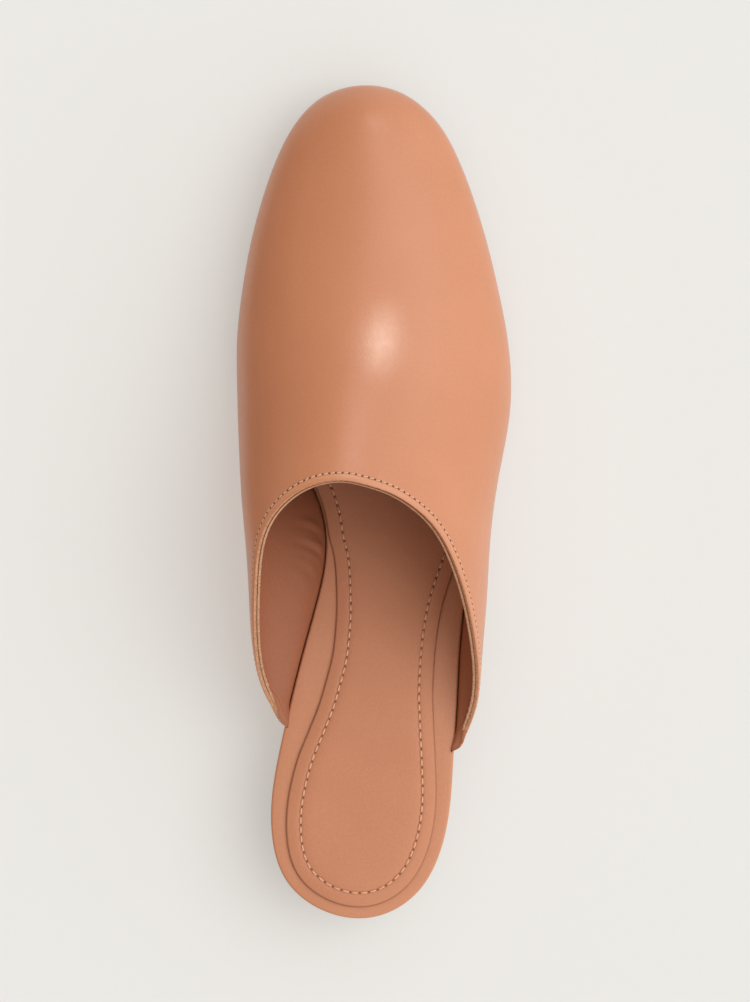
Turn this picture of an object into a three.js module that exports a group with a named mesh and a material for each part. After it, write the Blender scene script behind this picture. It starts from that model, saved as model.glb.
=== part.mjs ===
// Backless leather mule for the right foot, with a round toe and a low block heel.
// Five pieces: the hollow upper, the wrapped insole board, the stitched sock lining, the outsole and
// the heel. Everything is worked out from one last: the outline of its feather edge (the insole
// board), the outline of its widest line, and the line of its ridge over toe, vamp and instep.
//
// Millimetres. +Y runs from heel to toe, +X to the outer (lateral) side, +Z up. While the pieces are
// made, y = 0 is the back of the heel seat and z = 0 the floor. The finished group is moved so that
// its origin is the bottom centre of its box.

import * as THREE from 'three';
import { mergeVertices } from 'three/addons/utils/BufferGeometryUtils.js';

// ---- Driving dimensions ----

const LENGTH = 248.4; // heel back to the foremost point of the upper
const BOARD_LENGTH = 246.4; // insole board, heel back to toe
const WALL = 2.0; // upper: outer leather and lining together
const BOARD_THICKNESS = 3.0; // insole board with its leather wrap
const SOCK_THICKNESS = 1.2; // padded sock lining
const SOLE_THICKNESS = 3.5; // outsole
const GAP = 0.3; // room left between neighbouring curved pieces
const THROAT_Y = 131.0; // foremost point of the topline
const WING_END = { medial: 57.5, lateral: 50.0 }; // where the upper's sides run out at the back
const BELLY_SHARE = 0.3; // share of a side's girth below the widest line
const FOOT_SHARE = 0.12; // share of the girth over which the wall turns square to the sole
const FOOT_OUT = 0.36; // how far outwards the section heads from its foot, as a share of its reach
const FOOT_UP = 0.3; // and how far upwards, as a share of the height of the widest line
const BELLY_UP = 0.42; // the last share of that height, in which the section stands upright
const BOARD_ROLL = 0.8; // rounding of the insole board's wrapped edge
const SOCK_ROLL = 0.6; // rounding of the sock's upper edge
const SOLE_ROLL = 0.9; // rounding of the outsole's lower edge
const HEEL_FRONT = 46; // heel breast at the sole
const HEEL_BREAST_LEAN = 3; // how far back the breast stands at the floor
const HEEL_BREAST_HOLLOW = 2.4; // depth of the curve across the breast
const HEEL_INSET = 1.0; // heel block inside the edge of the seat
const HEEL_TAPER = 1.4; // how much the block draws in towards the floor
const HEEL_ROLL = 0.6; // rounding of its lowest edge

// ---- The last, a row for each section ----

// Feather edge: half widths of the insole board on each side of the centre line x = 0.
const BOARD_OUTLINE = [
  { y: 0, medial: 2.7, lateral: -2.7 },
  { y: 3, medial: 14.8, lateral: 8.7 },
  { y: 10, medial: 23.5, lateral: 16.6 },
  { y: 22, medial: 28.3, lateral: 22.2 },
  { y: 36, medial: 28.7, lateral: 24.7 },
  { y: 50, medial: 26.4, lateral: 25.6 },
  { y: 65, medial: 22.9, lateral: 26.6 },
  { y: 80, medial: 19.0, lateral: 27.5 },
  { y: 95, medial: 14.8, lateral: 29.2 },
  { y: 109, medial: 12.2, lateral: 30.9 },
  { y: 120, medial: 13.1, lateral: 32.4 },
  { y: 130, medial: 16.9, lateral: 34.3 },
  { y: 141, medial: 24.4, lateral: 37.2 },
  { y: 152, medial: 31.2, lateral: 39.3 },
  { y: 164, medial: 35.2, lateral: 39.9 },
  { y: 177, medial: 35.4, lateral: 38.6 },
  { y: 192, medial: 33.8, lateral: 35.6 },
  { y: 207, medial: 30.6, lateral: 31.5 },
  { y: 222, medial: 26.1, lateral: 26.3 },
  { y: 234, medial: 20.6, lateral: 20.4 },
  { y: 243, medial: 12.6, lateral: 11.9 },
  { y: BOARD_LENGTH, medial: 0.3, lateral: -0.3 },
];

// Widest line of the upper, from behind the wings to the toe.
const BELLY_OUTLINE = [
  { y: 45, medial: 22.6, lateral: 26.4 },
  { y: 55, medial: 25.8, lateral: 29.4 },
  { y: 62, medial: 28.6, lateral: 31.8 },
  { y: 70, medial: 32.0, lateral: 33.2 },
  { y: 80, medial: 34.4, lateral: 34.0 },
  { y: 95, medial: 35.6, lateral: 35.3 },
  { y: 110, medial: 36.5, lateral: 36.3 },
  { y: 125, medial: 37.8, lateral: 38.1 },
  { y: 138, medial: 38.4, lateral: 40.6 },
  { y: 150, medial: 38.8, lateral: 42.7 },
  { y: 160, medial: 39.0, lateral: 43.2 },
  { y: 172, medial: 39.0, lateral: 42.3 },
  { y: 186, medial: 37.6, lateral: 39.7 },
  { y: 200, medial: 35.2, lateral: 36.4 },
  { y: 213, medial: 31.9, lateral: 32.5 },
  { y: 225, medial: 27.8, lateral: 28.0 },
  { y: 236, medial: 22.3, lateral: 22.1 },
  { y: 244, medial: 14.6, lateral: 14.0 },
  { y: LENGTH, medial: 0.3, lateral: -0.3 },
];

// Height of the widest line above the floor on each side.
const BELLY_HEIGHT = [
  { y: 45, medial: 20, lateral: 22 },
  { y: 60, medial: 24, lateral: 24 },
  { y: 80, medial: 28, lateral: 24.5 },
  { y: 95, medial: 31, lateral: 23 },
  { y: 110, medial: 32.5, lateral: 20.5 },
  { y: 125, medial: 29.5, lateral: 17.5 },
  { y: 140, medial: 22.5, lateral: 15 },
  { y: 155, medial: 16, lateral: 13.5 },
  { y: 170, medial: 13.2, lateral: 12.8 },
  { y: 190, medial: 12.8, lateral: 12.6 },
  { y: 220, medial: 13.8, lateral: 13.8 },
  { y: LENGTH, medial: 16, lateral: 16 },
];

// Ridge of the last. Behind the throat it is the instep that the open collar leaves out.
const RIDGE = [
  { y: 45, x: -6.0, z: 80 },
  { y: 80, x: -8.5, z: 79.5 },
  { y: 105, x: -9.9, z: 74.5 },
  { y: 120, x: -9.9, z: 68 },
  { y: 131, x: -9.3, z: 62.5 },
  { y: 145, x: -7.8, z: 56 },
  { y: 160, x: -5.6, z: 50 },
  { y: 180, x: -3.0, z: 43.6 },
  { y: 200, x: -1.3, z: 38.6 },
  { y: 218, x: -0.4, z: 34.8 },
  { y: 232, x: -0.3, z: 31.2 },
  { y: 241, x: -0.3, z: 27.6 },
  { y: 246, x: -0.3, z: 22.6 },
  { y: LENGTH, x: -0.3, z: 16 },
];

// Fullness of a section above the widest line: wall is how far the side runs straight up, as a share
// of the height, and crown how far the top runs level, as a share of the width.
const FULLNESS = [
  { y: 45, medialWall: 0.55, medialCrown: 0.5, lateralWall: 0.47, lateralCrown: 0.62 },
  { y: 110, medialWall: 0.55, medialCrown: 0.5, lateralWall: 0.47, lateralCrown: 0.62 },
  { y: 140, medialWall: 0.56, medialCrown: 0.5, lateralWall: 0.5, lateralCrown: 0.58 },
  { y: 170, medialWall: 0.58, medialCrown: 0.5, lateralWall: 0.56, lateralCrown: 0.53 },
  { y: 200, medialWall: 0.6, medialCrown: 0.52, lateralWall: 0.6, lateralCrown: 0.52 },
  { y: 225, medialWall: 0.58, medialCrown: 0.55, lateralWall: 0.58, lateralCrown: 0.55 },
  { y: LENGTH, medialWall: 0.55, medialCrown: 0.55, lateralWall: 0.55, lateralCrown: 0.55 },
];

// Topline: how far up a side's girth, from sole (0) to ridge (1), the leather is cut.
const TOPLINE = {
  medial: [
    { y: THROAT_Y, girth: 1 },
    { y: 129.5, girth: 0.859 },
    { y: 125, girth: 0.725 },
    { y: 119, girth: 0.612 },
    { y: 113, girth: 0.533 },
    { y: 107, girth: 0.48 },
    { y: 101, girth: 0.446 },
    { y: 93, girth: 0.412 },
    { y: 85.5, girth: 0.387 },
    { y: 78, girth: 0.36 },
    { y: 72, girth: 0.333 },
    { y: 66, girth: 0.29 },
    { y: 62, girth: 0.165 },
    { y: 59.5, girth: 0.09 },
    { y: WING_END.medial, girth: 0.06 },
  ],
  lateral: [
    { y: THROAT_Y, girth: 1 },
    { y: 129.8, girth: 0.92 },
    { y: 127.8, girth: 0.848 },
    { y: 123.8, girth: 0.763 },
    { y: 118, girth: 0.68 },
    { y: 111, girth: 0.615 },
    { y: 104, girth: 0.567 },
    { y: 96, girth: 0.519 },
    { y: 88, girth: 0.472 },
    { y: 81, girth: 0.428 },
    { y: 75, girth: 0.39 },
    { y: 69, girth: 0.358 },
    { y: 63, girth: 0.326 },
    { y: 57.5, girth: 0.28 },
    { y: 53.5, girth: 0.17 },
    { y: WING_END.lateral, girth: 0.06 },
  ],
};

// Bare rim of the insole board left outside the sock lining.
const SOCK_RIM = [
  { y: 0, medial: 3.4, lateral: 3.4 },
  { y: 14, medial: 3.9, lateral: 3.6 },
  { y: 30, medial: 4.5, lateral: 4.0 },
  { y: 48, medial: 5.6, lateral: 5.4 },
  { y: 58, medial: 7.2, lateral: 6.5 },
  { y: 68, medial: 8.5, lateral: 7.3 },
  { y: 78, medial: 8.7, lateral: 7.2 },
  { y: 90, medial: 7.0, lateral: 6.6 },
  { y: 101, medial: 4.1, lateral: 4.7 },
  { y: 108, medial: 2.3, lateral: 2.9 },
  { y: 115, medial: 0.6, lateral: 1.2 },
  { y: 120, medial: 0.6, lateral: 0.6 },
  { y: BOARD_LENGTH, medial: 0.6, lateral: 0.6 },
];

// Edge of the outsole beyond the insole board: just inside it at the heel seat, and under the foot of
// the upper from the wings forwards.
const SOLE_EDGE = [
  { y: 0, medial: -0.4, lateral: -0.4 },
  { y: 50, medial: -0.4, lateral: -0.4 },
  { y: 58, medial: -0.4, lateral: 1.2 },
  { y: 66, medial: 1.2, lateral: 1.2 },
  { y: BOARD_LENGTH, medial: 1.2, lateral: 1.2 },
];

// Underside of the outsole: heel seat, arch, level tread at the ball, toe spring.
const SOLE_LINE = [
  { y: 0, z: 16.6 },
  { y: 22, z: 16.1 },
  { y: 45, z: 15.4 },
  { y: 62, z: 13.9 },
  { y: 80, z: 10.9 },
  { y: 97, z: 7.1 },
  { y: 112, z: 3.7 },
  { y: 126, z: 1.2 },
  { y: 138, z: 0.15 },
  { y: 148, z: 0 },
  { y: 174, z: 0 },
  { y: 190, z: 0.35 },
  { y: 210, z: 1.7 },
  { y: 230, z: 4.0 },
  { y: LENGTH, z: 6.9 },
];

// ---- Mesh density ----

const FRONT_COLUMNS = 26; // throat to toe
const WING_COLUMNS = 22; // throat to the end of a wing
const GIRTH_ROWS = 14; // sole to ridge or topline
const PLATE_STATIONS = 60; // along the insole board, sock and outsole
const HEEL_STATIONS = 22;
const HEEL_BREAST_STEPS = 6; // across the heel's breast

const SIDES = [
  { name: 'medial', sign: -1 },
  { name: 'lateral', sign: 1 },
];

// ---- Curves ----

const column = (rows, name) => rows.map((row) => row[name]);

const segmentAt = (knots, at) => {
  let i = 0;
  while (i < knots.length - 2 && at > knots[i + 1]) {
    i += 1;
  }
  return i;
};

// Natural cubic spline, smooth to its second derivative.
function smoothCurve(knots, values) {
  const last = knots.length - 1;
  const gap = (i) => knots[i + 1] - knots[i];
  const slope = (i) => (values[i + 1] - values[i]) / gap(i);
  const bend = new Array(last + 1).fill(0);
  const ratio = new Array(last + 1).fill(0);
  for (let i = 1; i < last; i += 1) {
    const pivot = 2 * (gap(i - 1) + gap(i)) - gap(i - 1) * ratio[i - 1];
    ratio[i] = gap(i) / pivot;
    bend[i] = (6 * (slope(i) - slope(i - 1)) - gap(i - 1) * bend[i - 1]) / pivot;
  }
  for (let i = last - 1; i > 0; i -= 1) {
    bend[i] -= ratio[i] * bend[i + 1];
  }
  return (at) => {
    const i = segmentAt(knots, at);
    const a = (knots[i + 1] - at) / gap(i);
    const b = (at - knots[i]) / gap(i);
    const cubic = (a ** 3 - a) * bend[i] + (b ** 3 - b) * bend[i + 1];
    return a * values[i] + b * values[i + 1] + (cubic * gap(i) ** 2) / 6;
  };
}

// Monotone cubic: never passes its rows, so level stretches stay exactly level.
function levelCurve(knots, values) {
  const last = knots.length - 1;
  const gap = (i) => knots[i + 1] - knots[i];
  const slope = (i) => (values[i + 1] - values[i]) / gap(i);
  const tangent = knots.map((_, i) => {
    if (i === 0 || i === last) {
      return slope(Math.min(i, last - 1));
    }
    if (slope(i - 1) * slope(i) <= 0) {
      return 0;
    }
    const before = 2 * gap(i) + gap(i - 1);
    const after = gap(i) + 2 * gap(i - 1);
    return (before + after) / (before / slope(i - 1) + after / slope(i));
  });
  return (at) => {
    const i = segmentAt(knots, at);
    const t = Math.min(Math.max((at - knots[i]) / gap(i), 0), 1);
    const leaving = t * (1 - t) ** 2 * gap(i) * tangent[i];
    const arriving = t ** 2 * (t - 1) * gap(i) * tangent[i + 1];
    const level = (1 + 2 * t) * (1 - t) ** 2 * values[i] + t ** 2 * (3 - 2 * t) * values[i + 1];
    return level + leaving + arriving;
  };
}

const levelColumn = (rows, name) => levelCurve(column(rows, 'y'), column(rows, name));

const smoothColumn = (rows, name) => smoothCurve(column(rows, 'y'), column(rows, name));

const bezier = (a, b, c, d, t) =>
  a * (1 - t) ** 3 + 3 * b * t * (1 - t) ** 2 + 3 * c * t ** 2 * (1 - t) + d * t ** 3;

// Place along a length as an angle, 0 at the back and PI at the toe, which rounds both ends.
const angleAt = (y, length) => Math.acos(Math.min(Math.max(1 - (2 * y) / length, -1), 1));

// An outline gives the point [x, y] at an angle and on a side (sign -1 medial, 1 lateral).
function outline(rows, length) {
  const angles = rows.map((row) => angleAt(row.y, length));
  const halfWidth = smoothCurve(angles, rows.map((row) => (row.lateral + row.medial) / 2));
  const centre = smoothCurve(column(rows, 'y'), rows.map((row) => (row.lateral - row.medial) / 2));
  return (angle, sign) => {
    const y = (length * (1 - Math.cos(angle))) / 2;
    return [centre(y) + sign * halfWidth(angle), y];
  };
}

// The same outline moved outwards along its own normal.
function movedOut(edge, angle, sign, distance) {
  const step = 1e-4;
  const before = edge(angle - step, sign);
  const after = edge(angle + step, sign);
  const point = edge(angle, sign);
  const along = new THREE.Vector2(after[0] - before[0], after[1] - before[1]).normalize();
  return [point[0] + sign * along.y * distance, point[1] - sign * along.x * distance];
}

const boardEdge = outline(BOARD_OUTLINE, BOARD_LENGTH);
const bellyEdge = outline(BELLY_OUTLINE, LENGTH);
const soleLine = levelColumn(SOLE_LINE, 'z');

const soleTop = (y) => soleLine(y) + SOLE_THICKNESS;
const boardBottom = (y) => soleTop(y) + GAP;
const boardTop = (y) => boardBottom(y) + BOARD_THICKNESS;
const sockBottom = (y) => boardTop(y) + GAP;
const sockTop = (y) => sockBottom(y) + SOCK_THICKNESS;

// ---- Solids ----

// Collects triangles and four-sided faces and closes them to one solid that faces outwards.
class Skin {
  constructor() {
    this.corners = [];
  }

  triangle(a, b, c) {
    this.corners.push(a, b, c);
  }

  // Split along its shorter diagonal, so that leaning faces stay smooth.
  face(a, b, c, d) {
    if (a.distanceTo(c) < b.distanceTo(d)) {
      this.triangle(a, b, c);
      this.triangle(a, c, d);
    } else {
      this.triangle(a, b, d);
      this.triangle(b, c, d);
    }
  }

  solid() {
    const loose = new THREE.BufferGeometry().setFromPoints(this.corners);
    const shape = mergeVertices(loose, 1e-3);
    const place = shape.getAttribute('position');
    const used = [];
    let volume = 0;
    for (let i = 0; i < shape.index.count; i += 3) {
      const [a, b, c] = [0, 1, 2].map((k) => shape.index.getX(i + k));
      if (a !== b && b !== c && c !== a) {
        used.push(a, b, c);
        const [p, q, r] = [a, b, c].map((k) => new THREE.Vector3().fromBufferAttribute(place, k));
        volume += p.dot(q.cross(r));
      }
    }
    shape.setIndex(volume < 0 ? used.reverse() : used);
    shape.computeVertexNormals();
    return shape;
  }
}

// A layer of the shoe's bottom: sock lining, insole board, outsole or heel block. Its outline is
// edge(angle, sign, ring), its faces lie at bottom(y) and top(y), and rim lists the rings of its edge
// from the bottom up, each with an inset and a share of the thickness. A layer that stops before the
// toe ends in a wall, drawn in at the middle by hollow.
function plate({ edge, angles, rim, bottom, top, across = 1, hollow = 0 }) {
  const skin = new Skin();
  const last = angles.length - 1;
  const place = (station, step, ring) => {
    const t = step / across;
    const [lateralX, lateralY] = edge(angles[station], 1, ring);
    const [medialX, medialY] = edge(angles[station], -1, ring);
    const dip = hollow * 4 * t * (1 - t) * (station / last) ** 2;
    const y = lateralY + (medialY - lateralY) * t - dip;
    const z = bottom(y) * (1 - ring.share) + top(y) * ring.share;
    return new THREE.Vector3(lateralX + (medialX - lateralX) * t, y, z);
  };
  const quad = (...corners) => skin.face(...corners.map((corner) => place(...corner)));
  const lowest = rim[0];
  const highest = rim[rim.length - 1];
  for (let i = 0; i < last; i += 1) {
    for (let j = 0; j < across; j += 1) {
      quad([i, j, highest], [i + 1, j, highest], [i + 1, j + 1, highest], [i, j + 1, highest]);
      quad([i, j + 1, lowest], [i + 1, j + 1, lowest], [i + 1, j, lowest], [i, j, lowest]);
    }
    for (let k = 0; k + 1 < rim.length; k += 1) {
      const [low, high] = [rim[k], rim[k + 1]];
      quad([i, 0, low], [i + 1, 0, low], [i + 1, 0, high], [i, 0, high]);
      quad([i, across, high], [i + 1, across, high], [i + 1, across, low], [i, across, low]);
    }
  }
  for (let k = 0; k + 1 < rim.length; k += 1) {
    const [low, high] = [rim[k], rim[k + 1]];
    for (let j = 0; j < across; j += 1) {
      quad([last, j, low], [last, j + 1, low], [last, j + 1, high], [last, j, high]);
    }
  }
  return skin.solid();
}

const evenAngles = (from, to, steps) =>
  Array.from({ length: steps + 1 }, (_, i) => from + ((to - from) * i) / steps);

const wholeLength = evenAngles(0, Math.PI, PLATE_STATIONS);

// Distance out from the board's edge at a place and on a side, from a table's two columns.
function marginFrom(rows) {
  const medial = levelColumn(rows, 'medial');
  const lateral = levelColumn(rows, 'lateral');
  return (y, sign) => (sign < 0 ? medial(y) : lateral(y));
}

function insole() {
  const rim = [
    { inset: BOARD_ROLL, share: 0 },
    { inset: 0, share: 0.3 },
    { inset: 0, share: 0.7 },
    { inset: BOARD_ROLL, share: 1 },
  ];
  const edge = (angle, sign, ring) => movedOut(boardEdge, angle, sign, -ring.inset);
  return plate({ edge, angles: wholeLength, rim, bottom: boardBottom, top: boardTop });
}

function sock() {
  const bareRim = marginFrom(SOCK_RIM);
  const rim = [
    { inset: 0, share: 0 },
    { inset: 0, share: 0.5 },
    { inset: SOCK_ROLL, share: 1 },
  ];
  const edge = (angle, sign, ring) => {
    const [, y] = boardEdge(angle, sign);
    return movedOut(boardEdge, angle, sign, -bareRim(y, sign) - ring.inset);
  };
  return plate({ edge, angles: wholeLength, rim, bottom: sockBottom, top: sockTop });
}

function outsole() {
  const reach = marginFrom(SOLE_EDGE);
  const rim = [
    { inset: SOLE_ROLL, share: 0 },
    { inset: 0, share: 0.3 },
    { inset: 0, share: 1 },
  ];
  const edge = (angle, sign, ring) => {
    const [, y] = boardEdge(angle, sign);
    return movedOut(boardEdge, angle, sign, reach(y, sign) - ring.inset);
  };
  return plate({ edge, angles: wholeLength, rim, bottom: soleLine, top: soleTop });
}

// The block follows the seat's outline and ends in a hollow breast that leans back towards the floor.
function heel() {
  const angles = evenAngles(0, angleAt(HEEL_FRONT, BOARD_LENGTH), HEEL_STATIONS);
  const rim = [
    { inset: HEEL_INSET + HEEL_TAPER + HEEL_ROLL, share: 0 },
    { inset: HEEL_INSET + HEEL_TAPER, share: 0.05 },
    { inset: HEEL_INSET + HEEL_TAPER * 0.3, share: 0.6 },
    { inset: HEEL_INSET, share: 1 },
  ];
  const edge = (angle, sign, ring) => {
    const [x, y] = movedOut(boardEdge, angle, sign, -ring.inset);
    return [x, y - (HEEL_BREAST_LEAN * (1 - ring.share) * y) / HEEL_FRONT];
  };
  const top = (y) => soleLine(y) - GAP;
  const across = HEEL_BREAST_STEPS;
  return plate({ edge, angles, rim, bottom: () => 0, top, across, hollow: HEEL_BREAST_HOLLOW });
}

// ---- The upper ----

const bellyHeight = {
  medial: smoothColumn(BELLY_HEIGHT, 'medial'),
  lateral: smoothColumn(BELLY_HEIGHT, 'lateral'),
};
const ridgeX = smoothColumn(RIDGE, 'x');
const ridgeZ = smoothCurve(RIDGE.map((row) => angleAt(row.y, LENGTH)), column(RIDGE, 'z'));
const fullness = Object.fromEntries(
  ['medialWall', 'medialCrown', 'lateralWall', 'lateralCrown'].map((name) => [
    name,
    smoothColumn(FULLNESS, name),
  ]),
);

// A point of the upper's outer face: angle runs along the shoe, girth from the sole, 0, to the ridge, 1.
function outerPoint(angle, girth, side) {
  const [bellyX, bellyY] = bellyEdge(angle, side.sign);
  const bellyZ = bellyHeight[side.name](bellyY);
  if (girth <= BELLY_SHARE) {
    const [footX, footY] = movedOut(boardEdge, angle, side.sign, GAP + WALL);
    const footZ = soleTop(footY) + GAP;
    const t = girth / BELLY_SHARE;
    const [wide, high] = [bellyX - footX, bellyZ - footZ];
    const x = bezier(footX, footX + FOOT_OUT * wide, bellyX, bellyX, t);
    const z = bezier(footZ, footZ + FOOT_UP * high, bellyZ - BELLY_UP * high, bellyZ, t);
    return new THREE.Vector3(x, footY + (bellyY - footY) * t * (2 - t), z);
  }
  const t = (girth - BELLY_SHARE) / (1 - BELLY_SHARE);
  const wall = fullness[`${side.name}Wall`](bellyY);
  const crown = fullness[`${side.name}Crown`](bellyY);
  const [topX, topZ] = [ridgeX(bellyY), ridgeZ(angle)];
  const x = bezier(bellyX, bellyX, topX + (1 - crown) * (bellyX - topX), topX, t);
  const z = bezier(bellyZ, bellyZ + wall * (topZ - bellyZ), topZ, topZ, t);
  return new THREE.Vector3(x, bellyY, z);
}

// Outward direction there. At the toe's foremost point the two sides meet, so it has no sideways part.
function outwards(angle, girth, side) {
  const step = 1e-4;
  if (angle > Math.PI - step) {
    const lower = outerPoint(angle, Math.max(girth - step, 0), side);
    const upper = outerPoint(angle, Math.min(girth + step, BELLY_SHARE), side);
    const rise = girth < BELLY_SHARE ? upper.sub(lower) : new THREE.Vector3(0, 0, 1);
    return new THREE.Vector3(0, rise.z, -rise.y).normalize();
  }
  const forwards = outerPoint(angle + step, girth, side).sub(outerPoint(angle - step, girth, side));
  const higher = outerPoint(angle, Math.min(girth + step, 1), side);
  const lower = outerPoint(angle, Math.max(girth - step, 0), side);
  return forwards.cross(higher.sub(lower)).normalize().multiplyScalar(side.sign);
}

// The lining's face lies a wall's thickness inside. The wall turns square to the sole at its foot.
function innerPoint(angle, girth, side) {
  const outer = outerPoint(angle, girth, side);
  if (girth === 0) {
    const [x, y] = movedOut(boardEdge, angle, side.sign, GAP);
    return new THREE.Vector3(x, y, outer.z);
  }
  const direction = outwards(angle, girth, side);
  direction.z *= Math.min(girth / FOOT_SHARE, 1);
  return outer.addScaledVector(direction.normalize(), -WALL);
}

// Angles of the columns, closest together at the throat, at the wing's end and at the toe, where the
// shape turns fastest, and the girth at which each column is cut.
function columnsOf(side) {
  const end = WING_END[side.name];
  const rows = TOPLINE[side.name];
  const wingAngle = (y) => Math.acos(Math.min(Math.max((2 * (y - end)) / (THROAT_Y - end) - 1, -1), 1));
  const cut = smoothCurve(rows.map((row) => wingAngle(row.y)), column(rows, 'girth'));
  const wing = evenAngles(Math.PI, 0, WING_COLUMNS).map((at) => {
    const y = end + ((THROAT_Y - end) * (1 + Math.cos(at))) / 2;
    return { angle: angleAt(y, LENGTH), girth: at === 0 ? 1 : cut(at) };
  });
  const front = evenAngles(angleAt(THROAT_Y, LENGTH), Math.PI, FRONT_COLUMNS);
  return [...wing, ...front.slice(1).map((angle) => ({ angle, girth: 1 }))];
}

function upper() {
  const skin = new Skin();
  for (const side of SIDES) {
    const columns = columnsOf(side);
    const grid = columns.map(({ angle, girth }, i) =>
      evenAngles(0, girth, GIRTH_ROWS).map((at) => {
        const shared = at === 1 || i === columns.length - 1;
        const owner = shared ? SIDES[0] : side;
        return { outer: outerPoint(angle, at, owner), inner: innerPoint(angle, at, owner) };
      }),
    );
    const face = (a, b, c, d) => (side.sign > 0 ? skin.face(a, b, c, d) : skin.face(d, c, b, a));
    for (let i = 0; i + 1 < grid.length; i += 1) {
      for (let j = 0; j < GIRTH_ROWS; j += 1) {
        const [a, b, c, d] = [grid[i][j], grid[i + 1][j], grid[i + 1][j + 1], grid[i][j + 1]];
        face(a.outer, b.outer, c.outer, d.outer);
        face(d.inner, c.inner, b.inner, a.inner);
      }
      const [a, b] = [grid[i][0], grid[i + 1][0]];
      face(a.inner, b.inner, b.outer, a.outer);
      if (i < WING_COLUMNS) {
        const [c, d] = [grid[i][GIRTH_ROWS], grid[i + 1][GIRTH_ROWS]];
        face(c.outer, d.outer, d.inner, c.inner);
      }
    }
    for (let j = 0; j < GIRTH_ROWS; j += 1) {
      const [a, b] = [grid[0][j], grid[0][j + 1]];
      face(a.outer, b.outer, b.inner, a.inner);
    }
  }
  return skin.solid();
}

// ---- Assembly ----

const LEATHER = { color: 0xce8f69, roughness: 0.42, metalness: 0 };
const PIECES = [
  { name: 'upper', shape: upper, finish: LEATHER },
  { name: 'insole', shape: insole, finish: { color: 0xcb8d68, roughness: 0.5, metalness: 0 } },
  { name: 'sock', shape: sock, finish: { color: 0xbe7f5d, roughness: 0.55, metalness: 0 } },
  { name: 'outsole', shape: outsole, finish: { color: 0xb98a62, roughness: 0.5, metalness: 0 } },
  { name: 'heel', shape: heel, finish: { color: 0xa9734d, roughness: 0.45, metalness: 0 } },
];

const mule = new THREE.Group();
for (const { name, shape, finish } of PIECES) {
  const mesh = new THREE.Mesh(shape(), new THREE.MeshStandardMaterial(finish));
  mesh.name = name;
  mule.add(mesh);
}

const middle = new THREE.Box3().setFromObject(mule).getCenter(new THREE.Vector3());
mule.position.set(-middle.x, -middle.y, 0);

export default mule;
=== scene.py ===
import math
from bisect import bisect_right

import bmesh
import bpy
from mathutils import Matrix, Vector
from mathutils.bvhtree import BVHTree
from mathutils.kdtree import KDTree


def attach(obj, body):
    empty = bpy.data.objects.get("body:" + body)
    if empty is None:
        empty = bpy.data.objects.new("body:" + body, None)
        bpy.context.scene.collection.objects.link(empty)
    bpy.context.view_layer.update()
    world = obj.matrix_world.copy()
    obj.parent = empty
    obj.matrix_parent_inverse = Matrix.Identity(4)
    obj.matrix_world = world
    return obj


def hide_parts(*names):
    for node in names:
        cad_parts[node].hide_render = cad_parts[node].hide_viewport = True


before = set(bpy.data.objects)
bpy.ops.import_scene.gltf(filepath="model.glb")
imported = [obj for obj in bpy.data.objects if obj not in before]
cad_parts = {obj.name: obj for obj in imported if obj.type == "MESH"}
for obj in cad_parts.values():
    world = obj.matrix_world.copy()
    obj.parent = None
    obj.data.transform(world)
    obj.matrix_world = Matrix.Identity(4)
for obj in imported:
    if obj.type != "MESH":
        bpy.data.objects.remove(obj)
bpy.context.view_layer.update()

# Camera.
# It hangs over the shoe and a little to its inner side, with the toe at the top of its view.
CAMERA_PLACE = Vector((-0.0545, 0.0162, 1.6))
CAMERA_AIM = Vector((0.0, 0.0, 0.02))
CAMERA_ANGLE = 10.8  # degrees from the top of its view to the bottom

ahead = (CAMERA_AIM - CAMERA_PLACE).normalized()
rightwards = ahead.cross(Vector((0, 1, 0))).normalized()
turn = Matrix((rightwards, rightwards.cross(ahead), -ahead)).transposed()
lens = bpy.data.cameras.new("camera")
lens.angle = math.radians(CAMERA_ANGLE)
lens.clip_start = 0.05
camera = bpy.data.objects.new("camera", lens)
camera.matrix_world = Matrix.Translation(CAMERA_PLACE) @ turn.to_4x4()
bpy.context.scene.collection.objects.link(camera)
bpy.context.scene.camera = camera


# Studio.
# A pale table lit from below too, a sky that darkens to the inner side, and a wide soft key light from
# the outer side. A soft panel beyond the toe gives the vamp its sheen, a snooted lamp the small bright
# spot on its crown, and a brown card on the inner side tints what the wall there reflects.
FLOOR_REACH = 4.0  # metres from the middle to each edge
FLOOR_DROP = 5e-5  # keeps the floor clear of the tread
FLOOR_TONES = ((0.447, 0.452, 0.445, 1), (0.457, 0.462, 0.455, 1))
FLOOR_GLOW_COLOUR = (1.0, 0.99, 0.955, 1)
FLOOR_GLOW = 0.37  # the light from below, which thins the shadows
SKY_DARK = (0.39, 0.325, 0.27, 1)  # low on the inner side
SKY_PALE = (0.95, 0.95, 0.945, 1)  # low on the outer side
SKY_TURN = (-0.75, 0.85)  # from the inner side's tone to the outer side's, along x
SKY_STRENGTH = 1.24
KEY_PLACE = (5.8, 1.4, 9.4)
KEY_SIZE = (8.0, 10.4)
KEY_WATTS = 380.0
FRONT_PLACE = (0.35, 1.5, 1.35)
FRONT_SIZE = (0.5, 0.3)
FRONT_WATTS = 3.0
SNOOT_PLACE = Vector((0.314, 0.643, 0.916))  # mirrors the camera in the crown of the vamp
SNOOT_AIM = Vector((0.0012, 0.0472, 0.0456))
SNOOT_REACH = 0.0115  # radius it lights, in metres
SNOOT_RADIUS = 0.006
SNOOT_WATTS = 18.0
SNOOT_COLOUR = (1.0, 0.97, 0.88)
FLAG_PLACE = (-0.068, 0.01)  # x and y of the brown card, which shows only in reflections
FLAG_HEIGHT = 0.05
FLAG_LENGTH = 0.26
FLAG_TONES = ((0.30, 0.13, 0.07, 1), (0.24, 0.11, 0.06, 1))


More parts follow.
